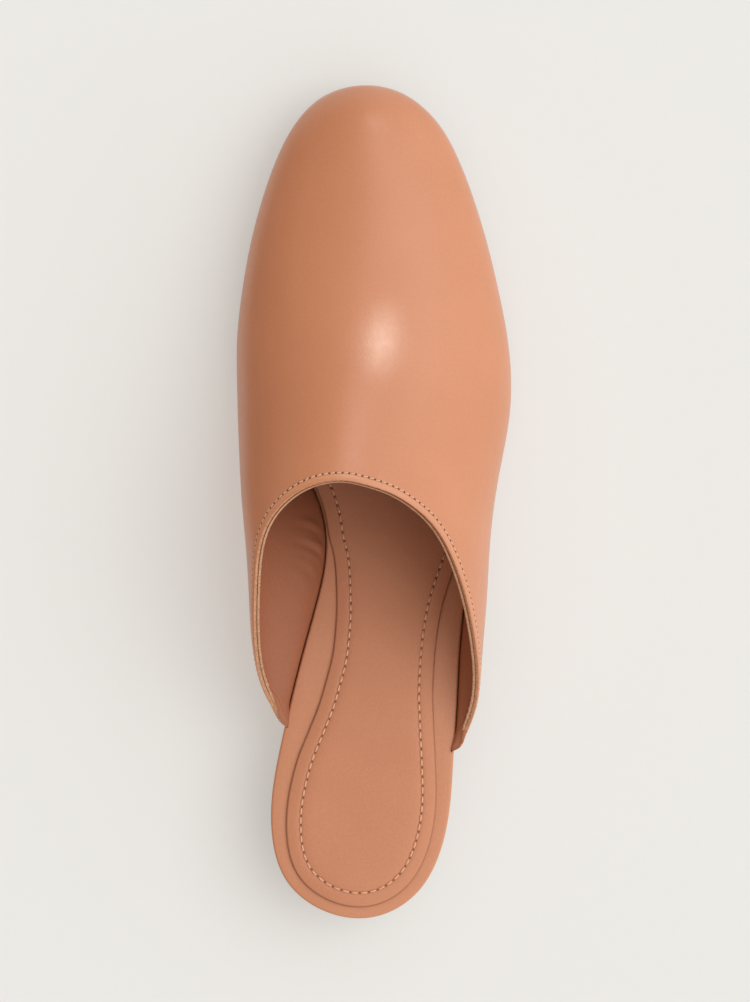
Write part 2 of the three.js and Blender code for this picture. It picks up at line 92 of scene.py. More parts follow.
class Wire:
    """An output in a finish's node tree. Arithmetic on wires adds Math nodes."""

    def __init__(self, finish, socket):
        self.finish = finish
        self.socket = socket

    def math(self, operation, first, second=0.0):
        return self.finish.node("ShaderNodeMath", {"operation": operation}, {0: first, 1: second})

    def __add__(self, other):
        return self.math("ADD", self, other)

    def __radd__(self, other):
        return self.math("ADD", other, self)

    def __sub__(self, other):
        return self.math("SUBTRACT", self, other)

    def __rsub__(self, other):
        return self.math("SUBTRACT", other, self)

    def __mul__(self, other):
        return self.math("MULTIPLY", self, other)

    def __rmul__(self, other):
        return self.math("MULTIPLY", other, self)

    def __truediv__(self, other):
        return self.math("DIVIDE", self, other)

    def __abs__(self):
        return self.math("ABSOLUTE", self)


class Finish:
    """The material of one kind of surface, built node by node."""

    def __init__(self, name):
        self.material = bpy.data.materials.new(name)
        self.material.use_nodes = True
        self.tree = self.material.node_tree
        self.tree.nodes.clear()

    def node(self, kind, settings=None, sockets=None, output=0):
        made = self.tree.nodes.new(kind)
        for name, value in (settings or {}).items():
            setattr(made, name, value)
        for name, value in (sockets or {}).items():
            socket = self.picked(made.inputs, name)
            if isinstance(value, Wire):
                self.tree.links.new(value.socket, socket)
            else:
                socket.default_value = value
        return Wire(self, self.picked(made.outputs, output)) if made.outputs else None

    def picked(self, sockets, name):
        """The socket of that number, or the one in use of that name."""
        if isinstance(name, int):
            return sockets[name]
        return next(socket for socket in sockets if socket.name == name and socket.enabled)

    def parts(self, vector):
        """The x, y and z of a vector."""
        split = self.node("ShaderNodeSeparateXYZ", {}, {0: vector}).socket.node
        return [Wire(self, socket) for socket in split.outputs]

    def noise(self, scale, detail=3.0, stretch=(1.0, 1.0, 1.0)):
        place = self.node("ShaderNodeTexCoord", output="Object")
        place = self.node("ShaderNodeMapping", {}, {"Vector": place, "Scale": stretch})
        return self.node("ShaderNodeTexNoise", {}, {"Vector": place, "Scale": scale, "Detail": detail})

    def cells(self, scale):
        place = self.node("ShaderNodeTexCoord", output="Object")
        return self.node("ShaderNodeTexVoronoi", {}, {"Vector": place, "Scale": scale}, "Distance")

    def ramp(self, value, low, high, start=0.0, end=1.0):
        sockets = {"Value": value, "From Min": low, "From Max": high, "To Min": start, "To Max": end}
        return self.node("ShaderNodeMapRange", {"interpolation_type": "SMOOTHSTEP"}, sockets)

    def mix(self, share, first, second):
        sockets = {"Factor": share, "A": first, "B": second}
        return self.node("ShaderNodeMix", {"data_type": "RGBA"}, sockets, "Result")

    def close(self, colour, roughness, height, depth, uniform=None):
        """Ends the tree: height, from 0 to 1, stands for depth in metres."""
        normal = self.node("ShaderNodeBump", {}, {"Height": height, "Distance": depth})
        sockets = {"Base Color": colour, "Roughness": roughness, "Normal": normal, **(uniform or {})}
        shader = self.node("ShaderNodeBsdfPrincipled", {}, sockets)
        self.node("ShaderNodeOutputMaterial", {}, {"Surface": shader})
        return self


def shown(name, mesh, *finishes):
    """The object that shows a finished bmesh."""
    data = bpy.data.meshes.new(name)
    mesh.to_mesh(data)
    mesh.free()
    for finish in finishes:
        data.materials.append(finish.material)
    data.shade_smooth()
    piece = bpy.data.objects.new(name, data)
    bpy.context.scene.collection.objects.link(piece)
    return piece


def soft_light(name, place, aim, size, watts, colour):
    panel = bpy.data.lights.new(name, "AREA")
    panel.shape = "RECTANGLE"
    panel.size, panel.size_y = size
    panel.energy = watts
    panel.color = colour
    lamp = bpy.data.objects.new(name, panel)
    lamp.location = place
    lamp.rotation_euler = (Vector(aim) - Vector(place)).to_track_quat("-Z", "Y").to_euler()
    bpy.context.scene.collection.objects.link(lamp)
    return lamp


card = Finish("floor_card")
card_gloss = card.ramp(card.noise(300.0), 0.3, 0.7, 0.75, 0.85)
card_glow = {"Emission Color": FLOOR_GLOW_COLOUR, "Emission Strength": FLOOR_GLOW}
card.close(card.mix(card.noise(6.0), *FLOOR_TONES), card_gloss, card.noise(900.0), 2e-5, card_glow)
ground = bmesh.new()
bmesh.ops.create_grid(ground, x_segments=1, y_segments=1, size=FLOOR_REACH)
bmesh.ops.translate(ground, verts=ground.verts, vec=(0, 0, -FLOOR_DROP))
shown("floor", ground, card)

sky = bpy.data.worlds.new("sky")
sky.use_nodes = True
around = Finish("sky_nodes")
bpy.data.materials.remove(around.material)
around.tree = sky.node_tree
way = around.parts(around.node("ShaderNodeTexCoord", output="Generated"))[0]
sky_tone = around.mix(around.ramp(way, *SKY_TURN), SKY_DARK, SKY_PALE)
sky.node_tree.links.new(sky_tone.socket, sky.node_tree.nodes["Background"].inputs["Color"])
sky.node_tree.nodes["Background"].inputs["Strength"].default_value = SKY_STRENGTH
bpy.context.scene.world = sky
bpy.context.scene.view_settings.view_transform = "Standard"

soft_light("key", KEY_PLACE, (0, 0, 0.02), KEY_SIZE, KEY_WATTS, (1.0, 1.0, 0.99))
front = soft_light("front", FRONT_PLACE, (0, 0.02, 0.05), FRONT_SIZE, FRONT_WATTS, (1.0, 1.0, 1.0))
front.visible_diffuse = False

snoot = bpy.data.lights.new("snoot", "SPOT")
snoot.energy = SNOOT_WATTS
snoot.color = SNOOT_COLOUR
snoot.shadow_soft_size = SNOOT_RADIUS
snoot.spot_size = 2 * math.atan(SNOOT_REACH / (SNOOT_PLACE - SNOOT_AIM).length)
snoot.spot_blend = 1.0
spot = bpy.data.objects.new("snoot", snoot)
spot.location = SNOOT_PLACE
spot.rotation_euler = (SNOOT_AIM - SNOOT_PLACE).to_track_quat("-Z", "Y").to_euler()
spot.visible_diffuse = False
bpy.context.scene.collection.objects.link(spot)

flag = bmesh.new()
bmesh.ops.create_grid(flag, x_segments=1, y_segments=1, size=0.5)
bmesh.ops.scale(flag, verts=flag.verts, vec=(FLAG_HEIGHT, FLAG_LENGTH, 1))
bmesh.ops.rotate(flag, verts=flag.verts, matrix=Matrix.Rotation(math.pi / 2, 3, "Y"))
bmesh.ops.translate(flag, verts=flag.verts, vec=(*FLAG_PLACE, FLAG_HEIGHT / 2))
felt = Finish("flag_felt")
felt.close(felt.mix(felt.noise(40.0), *FLAG_TONES), 0.9, felt.noise(600.0), 1e-4)
flag_card = shown("flag", flag, felt)
for ray in ("camera", "diffuse", "shadow", "transmission", "volume_scatter"):
    setattr(flag_card, "visible_" + ray, False)


# Insole board.
# A 3 mm board of leather fibre cut to the sole of the last, wrapped in the same calf as the upper.
# The wrap is pulled round its edge, which gives the round rim that shows at the seat and the waist.
LAST_PLACE = Vector((-2.108, -124.35, 0.0))  # the last's origin, the back of the seat, in millimetres
BOARD_LENGTH = 246.4
BOARD_THICKNESS = 3.0
SOLE_THICKNESS = 3.5
GAP = 0.3  # room left between the board and its neighbours
BOARD_ROLL = 0.7  # radius of the wrapped edge
BOARD_ROWS = (  # y, half width on the inner side, half width on the outer side
    (0, 2.7, -2.7), (3, 14.8, 8.7), (10, 23.5, 16.6), (22, 28.3, 22.2), (36, 28.7, 24.7),
    (50, 26.4, 25.6), (65, 22.9, 26.6), (80, 19, 27.5), (95, 14.8, 29.2), (109, 12.2, 30.9),
    (120, 13.1, 32.4), (130, 16.9, 34.3), (141, 24.4, 37.2), (152, 31.2, 39.3), (164, 35.2, 39.9),
    (177, 35.4, 38.6), (192, 33.8, 35.6), (207, 30.6, 31.5), (222, 26.1, 26.3), (234, 20.6, 20.4),
    (243, 12.6, 11.9), (BOARD_LENGTH, 0.3, -0.3),
)
SOLE_LINE = (  # y, underside of the outsole above the floor
    (0, 16.6), (22, 16.1), (45, 15.4), (62, 13.9), (80, 10.9), (97, 7.1), (112, 3.7), (126, 1.2),
    (138, 0.15), (148, 0), (174, 0), (190, 0.35), (210, 1.7), (230, 4), (248.4, 6.9),
)
PLATE_STEPS = 150  # from heel to toe
PLATE_COLUMNS = 14  # from side to side
NUDGE = 1e-4  # small step of angle or share that gives a curve's direction
WRAP_TONES = ((0.56, 0.232, 0.122, 1), (0.62, 0.27, 0.148, 1))


def segment_at(knots, at):
    return min(max(bisect_right(knots, at) - 1, 0), len(knots) - 2)


def smooth_curve(knots, values):
    """Natural cubic spline through the rows."""
    last = len(knots) - 1
    gaps = [knots[i + 1] - knots[i] for i in range(last)]
    slopes = [(values[i + 1] - values[i]) / gaps[i] for i in range(last)]
    bend = [0.0] * (last + 1)
    ratio = [0.0] * (last + 1)
    for i in range(1, last):
        pivot = 2 * (gaps[i - 1] + gaps[i]) - gaps[i - 1] * ratio[i - 1]
        ratio[i] = gaps[i] / pivot
        bend[i] = (6 * (slopes[i] - slopes[i - 1]) - gaps[i - 1] * bend[i - 1]) / pivot
    for i in range(last - 1, 0, -1):
        bend[i] -= ratio[i] * bend[i + 1]

    def curve(at):
        i = segment_at(knots, at)
        a = (knots[i + 1] - at) / gaps[i]
        b = (at - knots[i]) / gaps[i]
        cubic = (a**3 - a) * bend[i] + (b**3 - b) * bend[i + 1]
        return a * values[i] + b * values[i + 1] + cubic * gaps[i] ** 2 / 6

    return curve


def level_curve(knots, values):
    """Cubic that never passes its rows, so that level stretches stay level."""
    last = len(knots) - 1
    gaps = [knots[i + 1] - knots[i] for i in range(last)]
    slopes = [(values[i + 1] - values[i]) / gaps[i] for i in range(last)]
    tangents = [slopes[0]]
    for i in range(1, last):
        if slopes[i - 1] * slopes[i] <= 0:
            tangents.append(0.0)
        else:
            before = 2 * gaps[i] + gaps[i - 1]
            after = gaps[i] + 2 * gaps[i - 1]
            tangents.append((before + after) / (before / slopes[i - 1] + after / slopes[i]))
    tangents.append(slopes[-1])

    def curve(at):
        i = segment_at(knots, at)
        t = min(max((at - knots[i]) / gaps[i], 0.0), 1.0)
        between = (1 + 2 * t) * (1 - t) ** 2 * values[i] + t**2 * (3 - 2 * t) * values[i + 1]
        leaving = t * (1 - t) ** 2 * gaps[i] * tangents[i]
        arriving = t**2 * (t - 1) * gaps[i] * tangents[i + 1]
        return between + leaving + arriving

    return curve


def columns(rows):
    return [list(column) for column in zip(*rows)]


def angle_at(y, length):
    """Place along a length as an angle, 0 at the back and pi at the toe, which rounds both ends."""
    return math.acos(min(max(1 - 2 * y / length, -1), 1))


def y_at(angle, length):
    return length * (1 - math.cos(angle)) / 2


def outline(rows, length):
    """The point (x, y) of an outline at an angle and on a side, -1 inner and 1 outer."""
    places, inner, outer = columns(rows)
    turns = [angle_at(y, length) for y in places]
    half = smooth_curve(turns, [(o + i) / 2 for i, o in zip(inner, outer)])
    centre = smooth_curve(places, [(o - i) / 2 for i, o in zip(inner, outer)])

    def edge(angle, side):
        y = y_at(angle, length)
        return centre(y) + side * half(angle), y

    return edge


def moved_out(edge, angle, side, distance):
    before = edge(angle - NUDGE, side)
    after = edge(angle + NUDGE, side)
    along = Vector((after[0] - before[0], after[1] - before[1])).normalized()
    x, y = edge(angle, side)
    return x + side * along.y * distance, y - side * along.x * distance


def in_place(x, y, z):
    """A point of the last, in millimetres, as a place in the scene."""
    return (Vector((x, y, z)) + LAST_PLACE) / 1000


def rounded(radius, steps=4):
    """Rings (inset, height) of a quarter round that starts level with the top and ends upright."""
    turns = [math.pi / 2 * i / steps for i in range(steps + 1)]
    return [(radius * (1 - math.sin(a)), -radius * (1 - math.cos(a))) for a in turns]


def layered(angles, across, rings, spot):
    """A closed layer of the shoe's bottom: a grid over the top, drawn outwards and down ring by ring,
    and a second grid that closes it below. spot(angle, share, ring) places a point."""
    layer = bmesh.new()
    station = layer.verts.layers.float.new("station")
    share = layer.verts.layers.float.new("share")
    inset = layer.verts.layers.float.new("inset")
    steps = len(angles) - 1
    bmesh.ops.create_grid(layer, x_segments=across, y_segments=steps, size=1.0)
    for vert in layer.verts:
        vert[station] = angles[round((vert.co.y + 1) / 2 * steps)]
        vert[share] = vert.co.x

    def settle(verts, ring):
        for vert in verts:
            vert[inset] = ring[0]
            vert.co = spot(vert[station], vert[share], ring)

    top = layer.verts[:]
    rim = [edge for edge in layer.edges if edge.is_boundary]
    below = bmesh.ops.duplicate(layer, geom=layer.verts[:] + layer.edges[:] + layer.faces[:])["geom"]
    settle(top, rings[0])
    settle([item for item in below if isinstance(item, bmesh.types.BMVert)], rings[-1])
    for ring in rings[1:]:
        grown = bmesh.ops.extrude_edge_only(layer, edges=rim)["geom"]
        settle([item for item in grown if isinstance(item, bmesh.types.BMVert)], ring)
        rim = [item for item in grown if isinstance(item, bmesh.types.BMEdge) and item.is_boundary]
    bmesh.ops.remove_doubles(layer, verts=layer.verts, dist=2e-6)
    bmesh.ops.recalc_face_normals(layer, faces=layer.faces)
    return layer


def even(first, last, steps):
    return [first + (last - first) * i / steps for i in range(steps + 1)]


def leather(name, tones, roughness, grain=0.5, change=None, uniform=None):
    """Smooth calf: a slow drift between two tones, fine pores, and a roughness that wanders a little.
    change(finish, colour, height) may add to the colour and the height, in millimetres."""
    finish = Finish(name)
    drift = finish.ramp(finish.noise(28.0, 2.0), 0.3, 0.7)
    speckle = finish.ramp(finish.noise(1500.0, 2.0), 0.3, 0.7)
    tone = finish.mix(drift * 0.55 + speckle * 0.45, *tones)
    pores = finish.cells(2300.0)
    height = pores * (0.022 * grain) + finish.noise(700.0, 3.0) * (0.03 * grain)
    height = height + finish.noise(110.0, 2.0) * (0.05 * grain)
    gloss = roughness + finish.noise(400.0, 3.0) * 0.1 - 0.05
    if change:
        tone, height = change(finish, tone, height)
    return finish.close(tone, gloss, height, 1e-3, uniform)


board_edge = outline(BOARD_ROWS, BOARD_LENGTH)
sole_line = level_curve(*columns(SOLE_LINE))
whole_length = even(0.0, math.pi, PLATE_STEPS)


def sole_top(y):
    return sole_line(y) + SOLE_THICKNESS


def board_top(y):
    return sole_top(y) + GAP + BOARD_THICKNESS


def board_spot(angle, share, ring):
    inset, height = ring
    outer, inner = (moved_out(board_edge, angle, side, -inset) for side in (1, -1))
    x, y = (inner[i] + (outer[i] - inner[i]) * (share + 1) / 2 for i in (0, 1))
    return in_place(x, y, board_top(y) + height)


board_rings = [(3.0, 0.0), *rounded(BOARD_ROLL)]
board_rings += [(inset, -BOARD_THICKNESS - height) for inset, height in reversed(board_rings)]
board = layered(whole_length, PLATE_COLUMNS, board_rings, board_spot)
wrap = leather("insole_wrap", WRAP_TONES, 0.46, 0.8, uniform={"Specular IOR Level": 0.4})
insole_board = shown("insole_board", board, wrap)
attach(insole_board, "root")
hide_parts("insole")


# Upper: lining and outer leather.
# One piece of smooth caramel calf over a thin calf lining, lasted over the board and left open
# behind. Both are cut along one topline and keep their raw edges, with a thin groove between them.
LENGTH = 248.4  # heel back to the foremost point of the upper
WALL = 2.0  # both leathers together
OUTER_LEATHER = 1.0
LINING_START = 1.28  # the lining's hidden face, inside the outer face
LINING_LEATHER = 0.68
SKIVE = 8.0  # the wings are pared thin over this length and tucked in under the board
TUCK = 0.2  # how far inside the board's edge they end
THIN = 0.4  # share of the thickness left there
FOOT_LIFT = 0.12  # foot of the upper above the outsole
BOARD_SHARE = 0.07  # share of a side's girth that stands upright against the board's edge
BELLY_SHARE = 0.3  # share of the girth below the widest line
FOOT_LEAN = (0.12, 0.24, 0.42)  # how the section leaves the board, and how it comes to the widest line
THROAT_Y = 131.0
WING_COLUMNS = 46
FRONT_COLUMNS = 50
GIRTH_ROWS = 30
BELLY_ROWS = (  # y, half widths of the widest line, inner and outer side
    (45, 22.6, 26.4), (55, 25.8, 29.4), (62, 28.6, 31.8), (70, 32, 33.2), (80, 34.4, 34),
    (95, 35.6, 35.3), (110, 36.5, 36.3), (125, 37.8, 38.1), (138, 38.4, 40.6), (150, 38.8, 42.7),
    (160, 39, 43.2), (172, 39, 42.3), (186, 37.6, 39.7), (200, 35.2, 36.4), (213, 31.9, 32.5),
    (225, 27.8, 28), (236, 22.3, 22.1), (244, 14.6, 14), (LENGTH, 0.3, -0.3),
)
BELLY_HEIGHTS = (  # y, height of the widest line, inner and outer side
    (45, 20, 22), (60, 24, 24), (80, 28, 24.5), (95, 31, 23), (110, 32.5, 20.5), (125, 29.5, 17.5),
    (140, 22.5, 15), (155, 16, 13.5), (170, 13.2, 12.8), (190, 12.8, 12.6), (220, 13.8, 13.8),
    (LENGTH, 16, 16),
)
RIDGE = (  # y, x and height of the last's ridge
    (45, -6, 80), (80, -8.5, 79.5), (105, -9.9, 74.5), (120, -9.9, 68), (131, -9.3, 62.5),
    (145, -7.8, 56), (160, -5.6, 50), (180, -3, 43.6), (200, -1.3, 38.6), (218, -0.4, 34.8),
    (232, -0.3, 31.2), (241, -0.3, 27.6), (246, -0.3, 22.6), (LENGTH, -0.3, 16),
)
FULLNESS = (  # y, how far the wall runs upright and the top level: inner side, then outer side
    (45, 0.55, 0.5, 0.47, 0.62), (110, 0.55, 0.5, 0.47, 0.62), (140, 0.56, 0.5, 0.5, 0.58),
    (170, 0.58, 0.5, 0.56, 0.53), (200, 0.6, 0.52, 0.6, 0.52), (225, 0.58, 0.55, 0.58, 0.55),
    (LENGTH, 0.55, 0.55, 0.55, 0.55),
)
TOPLINE = {  # y, share of the girth at which the leather is cut
    -1: (
        (THROAT_Y, 1), (129.5, 0.859), (125, 0.725), (119, 0.612), (113, 0.533), (107, 0.48),
        (101, 0.446), (93, 0.412), (85.5, 0.387), (78, 0.36), (72, 0.333), (66, 0.305),
        (62.9, 0.285), (60.6, 0.253), (59.2, 0.225), (58.2, 0.185), (57.5, 0.03),
    ),
    1: (
        (THROAT_Y, 1), (129.8, 0.92), (127.8, 0.848), (123.8, 0.763), (118, 0.68), (111, 0.615),
        (104, 0.567), (96, 0.519), (88, 0.472), (81, 0.428), (75, 0.39), (69, 0.358),
        (63, 0.331), (57.5, 0.312), (53.7, 0.292), (51.7, 0.255), (50.6, 0.19), (50, 0.03),
    ),
}
SEAM_INSET = 2.3  # stitch line from the cut edge
SEAM_PITCH = 1.95
SEAM_END = 2.6  # the stitches end this far above the board at the wings
UNMARKED = 20.0  # on the seam map, too far away for any mark
SEAM_REACH = 0.014  # the seam map holds within this many metres of the stitches
NEAR_EDGE = 5.5  # the leather is meshed finely this far from its cut edge
CALF_TONES = ((0.575, 0.223, 0.106, 1), (0.625, 0.251, 0.125, 1))
# Painted shade: the lining's tones are darker than the calf's, for the shade inside the shoe.
LINING_SHADE_TONES = ((0.325, 0.108, 0.051, 1), (0.375, 0.130, 0.063, 1))
CUT_TONES = ((0.42, 0.19, 0.095, 1), (0.62, 0.32, 0.175, 1))
RAW_TONES = ((0.40, 0.20, 0.11, 1), (0.62, 0.36, 0.22, 1))
# Painted shade: the needle holes are coloured dark for the shade inside them.
HOLE_SHADE_TONE = (0.10, 0.035, 0.02, 1)
# Painted highlight: a lighter tone over the raised band between the stitches and the cut edge.
EDGE_HIGHLIGHT_TONE = (0.72, 0.35, 0.185, 1)
# Painted shade: a darker tone along the trough of the stitch line.
CHANNEL_SHADE_TONE = (0.33, 0.12, 0.06, 1)
CREASES = (  # on the lining at the waist, inner side: y, girth, length, width, turn in degrees, height
    (109.6, 0.105, 11.0, 1.35, 62, 0.75),
    (116.0, 0.115, 8.0, 1.3, 72, 0.5),
    (103.0, 0.12, 9.0, 1.6, 52, 0.35),
)
CREASE_SCALE = 135  # millimetres of lining to a whole share of girth, low on the wall
CREASED = (90, 124, 0.25)  # from y to y, and up to this girth, the lining is meshed finely

belly_edge = outline(BELLY_ROWS, LENGTH)
ridge_places, ridge_sides, ridge_heights = columns(RIDGE)
ridge_x = smooth_curve(ridge_places, ridge_sides)
ridge_z = smooth_curve([angle_at(y, LENGTH) for y in ridge_places], ridge_heights)


def smooth_columns(rows):
    places, *values = columns(rows)
    return [smooth_curve(places, column) for column in values]


belly_height = dict(zip((-1, 1), smooth_columns(BELLY_HEIGHTS)))
fullness = smooth_columns(FULLNESS)
upright = {-1: fullness[0], 1: fullness[2]}
crown = {-1: fullness[1], 1: fullness[3]}


def bezier(a, b, c, d, t):
    return a * (1 - t) ** 3 + 3 * b * t * (1 - t) ** 2 + 3 * c * t**2 * (1 - t) + d * t**3


def pared(y, side):
    """1 along the shoe, falling to 0 at the end of the wing."""
    t = min(max((y - TOPLINE[side][-1][0]) / SKIVE, 0), 1)
    return t * t * (3 - 2 * t)


def thickness_share(angle, side):
    return THIN + (1 - THIN) * pared(y_at(angle, LENGTH), side)


def outer_point(angle, girth, side):
    """A point of the outer face, in the last's millimetres. girth runs from the sole, 0, to the ridge,
    1."""
    belly_x, belly_y = belly_edge(angle, side)
    belly_z = belly_height[side](belly_y)
    if girth <= BELLY_SHARE:
        full = pared(belly_y, side)
        foot_x, foot_y = moved_out(board_edge, angle, side, full * (GAP + WALL) - (1 - full) * TUCK)
        foot_z, board_z = sole_top(foot_y) + FOOT_LIFT, board_top(foot_y)
        if girth <= BOARD_SHARE:
            return Vector((foot_x, foot_y, foot_z + (board_z - foot_z) * girth / BOARD_SHARE))
        wide, high = belly_x - foot_x, belly_z - board_z
        t = (girth - BOARD_SHARE) / (BELLY_SHARE - BOARD_SHARE)
        x = bezier(foot_x, foot_x + FOOT_LEAN[0] * wide, belly_x, belly_x, t)
        z = bezier(board_z, board_z + FOOT_LEAN[1] * high, belly_z - FOOT_LEAN[2] * high, belly_z, t)
        return Vector((x, foot_y + (belly_y - foot_y) * t * (2 - t), z))
    t = (girth - BELLY_SHARE) / (1 - BELLY_SHARE)
    top_x, top_z = ridge_x(belly_y), ridge_z(angle)
    level_x = top_x + (1 - crown[side](belly_y)) * (belly_x - top_x)
    upright_z = belly_z + upright[side](belly_y) * (top_z - belly_z)
    x = bezier(belly_x, belly_x, level_x, top_x, t)
    return Vector((x, belly_y, bezier(belly_z, upright_z, top_z, top_z, t)))


def outwards(angle, girth, side):
    """The direction in which the outer face looks."""
    if angle > math.pi - NUDGE and girth >= BELLY_SHARE:
        return Vector((0, 1, 0))
    above = outer_point(angle, min(girth + NUDGE, 1), side)
    rise = above - outer_point(angle, max(girth - NUDGE, 0), side)
    if angle > math.pi - NUDGE:
        return Vector((0, rise.z, -rise.y)).normalized()
    forwards = outer_point(angle + NUDGE, girth, side) - outer_point(angle - NUDGE, girth, side)
    return forwards.cross(rise).normalized() * side


def skin_point(angle, across, depth):
    """The place depth millimetres inside the outer face. across runs from the inner foot, -1, over the
    ridge, 0, to the outer foot, 1."""
    side = 1 if across >= 0 or angle > math.pi - 1e-6 else -1
    girth = max(1 - abs(across), 0)
    way = outwards(angle, girth, side)
    depth *= thickness_share(angle, side)
    way.z *= min(girth / BOARD_SHARE, 1)
    point = outer_point(angle, girth, side) - way.normalized() * depth
    return in_place(*point)


def cut_columns(side):
    """(angle, girth at the cut edge) of each column, from the end of the wing to the toe."""
    rows = TOPLINE[side]
    end = rows[-1][0]
    turns = [math.acos(min(max(2 * (y - end) / (THROAT_Y - end) - 1, -1), 1)) for y, _ in rows]
    cut = smooth_curve(turns, [girth for _, girth in rows])
    made = []
    for at in even(math.pi, 0.0, WING_COLUMNS):
        y = end + (THROAT_Y - end) * (1 + math.cos(at)) / 2
        made.append((angle_at(y, LENGTH), cut(at) if at > 0 else 1.0))
    front = even(angle_at(THROAT_Y, LENGTH), math.pi, FRONT_COLUMNS)
    return made + [(angle, 1.0) for angle in front[1:]]


cut_at = {side: cut_columns(side) for side in (-1, 1)}


class Line:
    """A line over the leather that can be measured along."""

    def __init__(self, points):
        self.points = points
        self.runs = [0.0]
        for a, b in zip(points, points[1:]):
            self.runs.append(self.runs[-1] + (b - a).length)
        self.length = self.runs[-1]
        self.tree = KDTree(len(points))
        for i, point in enumerate(points):
            self.tree.insert(point, i)
        self.tree.balance()

    def at(self, run):
        """The point there, and the direction of the line."""
        i = segment_at(self.runs, run)
        a, b = self.points[i], self.points[i + 1]
        t = (run - self.runs[i]) / (self.runs[i + 1] - self.runs[i])
        return a.lerp(b, t), (b - a).normalized()

    def nearest(self, point):
        """(run, distance) of the nearest place on the line."""
        _, i, best = self.tree.find(point)
        run = self.runs[i]
        for j in (i - 1, i):
            if 0 <= j < len(self.points) - 1:
                a, b = self.points[j], self.points[j + 1]
                along = b - a
                t = min(max((point - a).dot(along) / along.length_squared, 0), 1)
                gap = (a + along * t - point).length
                if gap < best:
                    best, run = gap, self.runs[j] + along.length * t
        return run, best


def refined(line, spacing):
    count = max(int(line.length / spacing), 2)
    return Line([line.at(line.length * i / count)[0] for i in range(count + 1)])


def cut_edge(depth):
    """The topline from the end of the inner wing round the throat to the end of the outer wing."""
    points = []
    for side in (-1, 1):
        columns_cut = cut_at[side][: WING_COLUMNS + 1]
        wing = [skin_point(angle, side * (1 - cut), depth) for angle, cut in columns_cut]
        points += wing if side < 0 else wing[-2::-1]
    return refined(Line(points), 3e-4)


def skin(depth):
    """The open skin at a depth inside the outer face, fine near its cut edge. It comes with its cut
    edge and with the layers that hold each point's angle and its share across."""
    made = bmesh.new()
    station = made.verts.layers.float.new("station")
    across = made.verts.layers.float.new("across")
    for side in (-1, 1):
        steps = len(cut_at[side]) - 1
        grid = bmesh.ops.create_grid(made, x_segments=steps, y_segments=GIRTH_ROWS, size=1.0)["verts"]
        for vert in grid:
            angle, cut = cut_at[side][round((vert.co.x + 1) / 2 * steps)]
            girth = cut * round((vert.co.y + 1) / 2 * GIRTH_ROWS) / GIRTH_ROWS
            vert[station] = angle
            vert[across] = side * (1 - girth)
            vert.co = skin_point(angle, vert[across], depth)
        if side < 0:
            bmesh.ops.reverse_faces(made, faces=made.faces)
    bmesh.ops.remove_doubles(made, verts=made.verts, dist=2e-6)
    edge = cut_edge(depth)

    def fine(vert):
        y = vert.co.y * 1000 - LAST_PLACE.y
        creased = depth > 0 and CREASED[0] < y < CREASED[1] and 1 + vert[across] < CREASED[2]
        return creased or edge.nearest(vert.co)[1] < NEAR_EDGE / 1000

    close = [e for e in made.edges if all(fine(v) for v in e.verts)]
    bmesh.ops.subdivide_edges(made, edges=close, cuts=3, use_grid_fill=True)
    return made, edge, station, across


def seam_line(made, edge):
    """The stitch line, SEAM_INSET from the cut edge, laid on the skin itself."""
    tree = BVHTree.FromBMesh(made)
    points = []
    for i in range(1, len(edge.points) - 1):
        point = edge.points[i]
        along = edge.points[i + 1] - edge.points[i - 1]
        _, normal, _, _ = tree.find_nearest(point)
        inwards = normal.cross(along).normalized() * (SEAM_INSET / 1000)
        found, _, _, away = tree.find_nearest(point + inwards)
        y = found.y * 1000 - LAST_PLACE.y
        if away < 4e-4 and found.z * 1000 > board_top(y) + SEAM_END:
            points.append(found)
    return Line(points)


def near_edge_height(distance):
    """How the outer leather stands by its cut edge, in millimetres: a rolled band, then the stitches'
    trough."""
    band = 0.10 * math.exp(-(((distance - 1.1) / 0.75) ** 2))
    trough = 0.15 * math.exp(-(((distance - SEAM_INSET) / 0.42) ** 2))
    turned = 0.22 * math.exp(-((distance / 0.5) ** 2))
    return band - trough - turned


def seam_map(finish, pitch):
    """Millimetres along the seam from the nearest needle hole, and away from the stitch line, from the
    UV map, where u runs along the line and v away from it."""
    u, v, _ = finish.parts(finish.node("ShaderNodeUVMap", {"uv_map": "seam"}))
    step = u.math("FRACT", u / pitch + 0.5) - 0.5
    return step * pitch, v


def stitch_marks(finish, colour, height, highlight_share):
    """Needle holes painted dark for the shade in them, and painted shade in the trough between them.
    The band outside the stitches takes the given share of a lighter tone, a painted highlight."""
    along, v = seam_map(finish, SEAM_PITCH)
    slanted = along + v * 0.35
    hole = slanted.math("SQRT", slanted * slanted * 0.8 + v * v * 1.3)
    hole = finish.ramp(hole, 0.40, 0.22)
    channel = finish.ramp(abs(v), 0.55, 0.25)
    band = finish.ramp(v, -SEAM_INSET, -0.6) * finish.ramp(v, -0.2, -0.8)
    # Painted light: the band by the cut edge is lightened as a highlight; the trough and the holes are
    # darkened as shade.
    colour = finish.mix(band * highlight_share, colour, EDGE_HIGHLIGHT_TONE)
    colour = finish.mix(channel * 0.25, colour, CHANNEL_SHADE_TONE)
    colour = finish.mix(hole, colour, HOLE_SHADE_TONE)
    return colour, height - hole * 0.35


def outer_marks(finish, colour, height):
    return stitch_marks(finish, colour, height, 0.55)


def lining_marks(finish, colour, height):
    return stitch_marks(finish, colour, height, 0.1)


def cut_leather(name, tones):
    finish = Finish(name)
    fibres = finish.noise(1900.0, 4.0)
    tone = finish.mix(finish.ramp(fibres, 0.3, 0.65), *tones)
    return finish.close(tone, finish.ramp(fibres, 0.3, 0.7, 0.75, 0.95), fibres, 2e-4)


